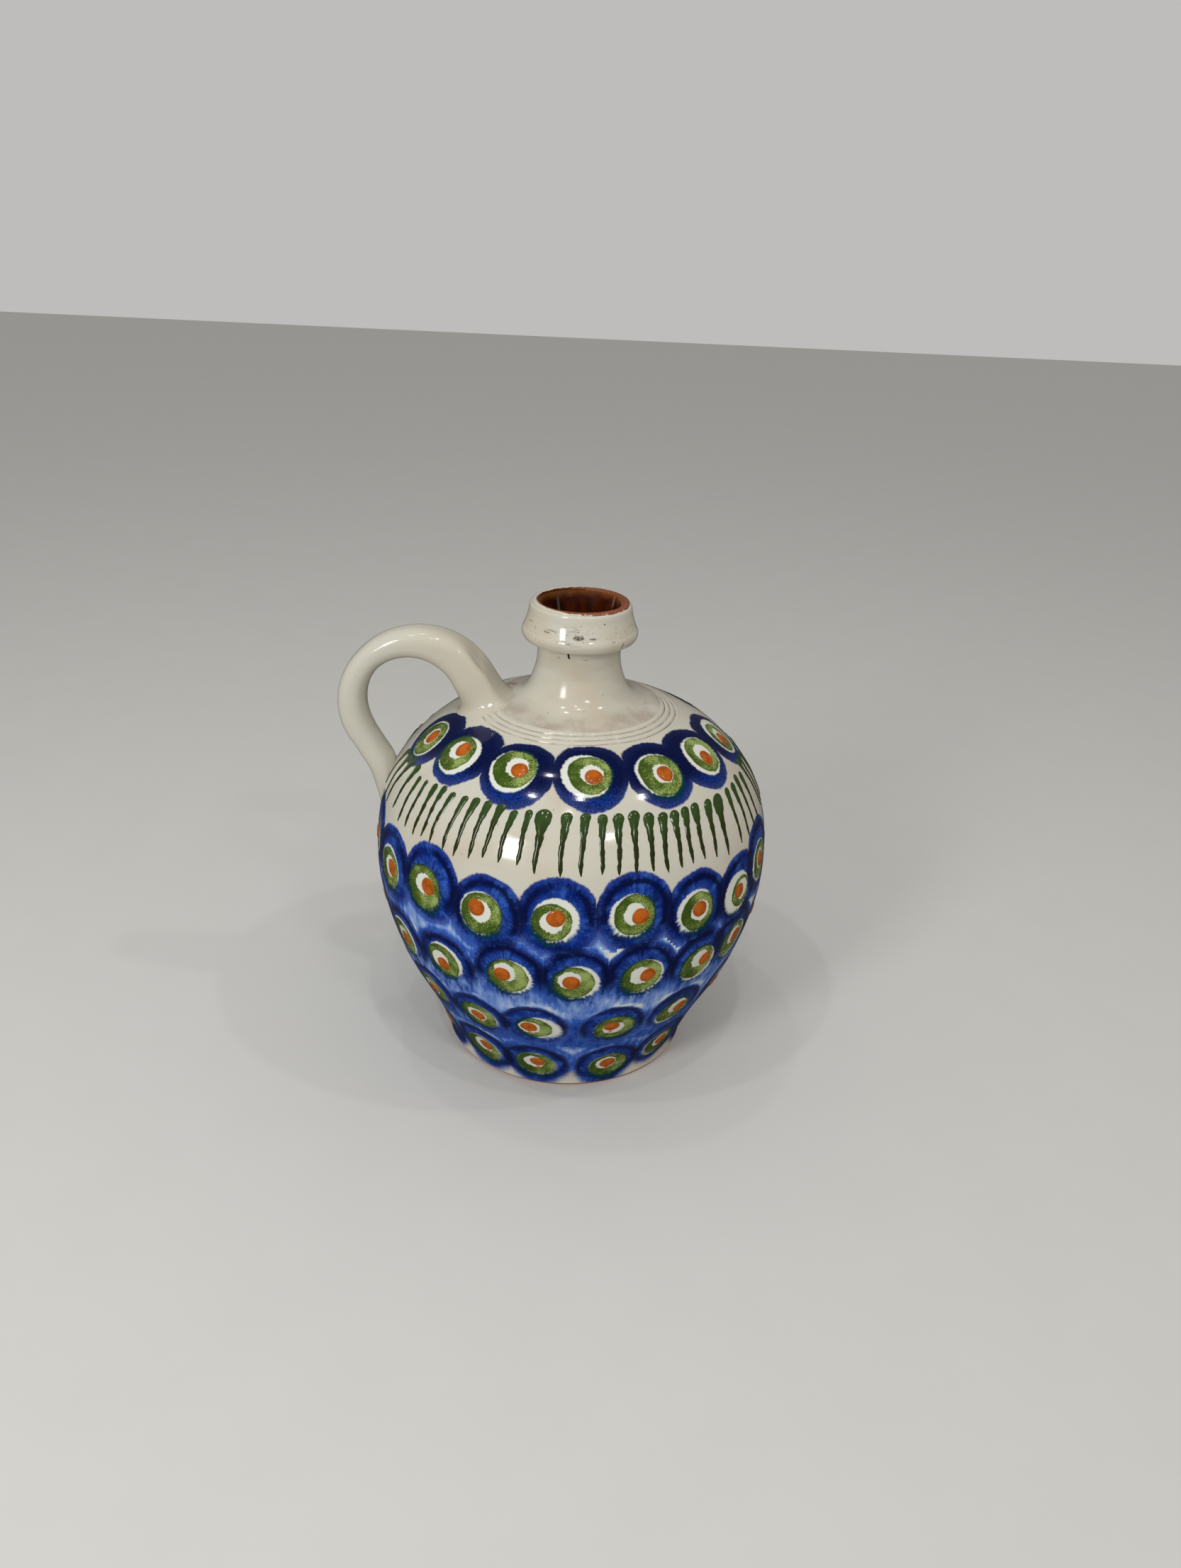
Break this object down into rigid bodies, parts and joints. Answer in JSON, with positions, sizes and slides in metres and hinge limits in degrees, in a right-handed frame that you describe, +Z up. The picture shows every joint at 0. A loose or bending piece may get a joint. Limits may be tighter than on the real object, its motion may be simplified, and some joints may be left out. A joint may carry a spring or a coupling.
{
  "type": "stoneware jug",
  "caption": "Round-bellied stoneware jug with a narrow collared neck, a finger-loop handle, a brown glazed inside and raised slip dots and strokes over painted eye rings.",
  "frame": {"origin": "middle of the flat foot, on the jug's axis", "axes": "+Z up along the jug's axis and out of the mouth, handle towards -X, -Y towards the viewer of the picture"},
  "size_m": [0.1463, 0.134, 0.16],
  "materials": {
    "cream_glaze": "glossy cream glaze over stoneware",
    "brown_glaze": "glossy dark brown glaze",
    "orange_slip": "raised slip under gloss glaze",
    "green_slip": "raised slip under gloss glaze"
  },
  "bodies": {
    "root": {"body": "cream_glaze", "neck": "cream_glaze", "rim_collar": "cream_glaze", "handle": "cream_glaze", "inner_glaze": "brown_glaze", "shoulder_dots": "orange_slip", "belly_dots_1": "orange_slip", "belly_dots_2": "orange_slip", "belly_dots_3": "orange_slip", "belly_dots_4": "orange_slip", "green_strokes": "green_slip"}
  },
  "joints": []
}
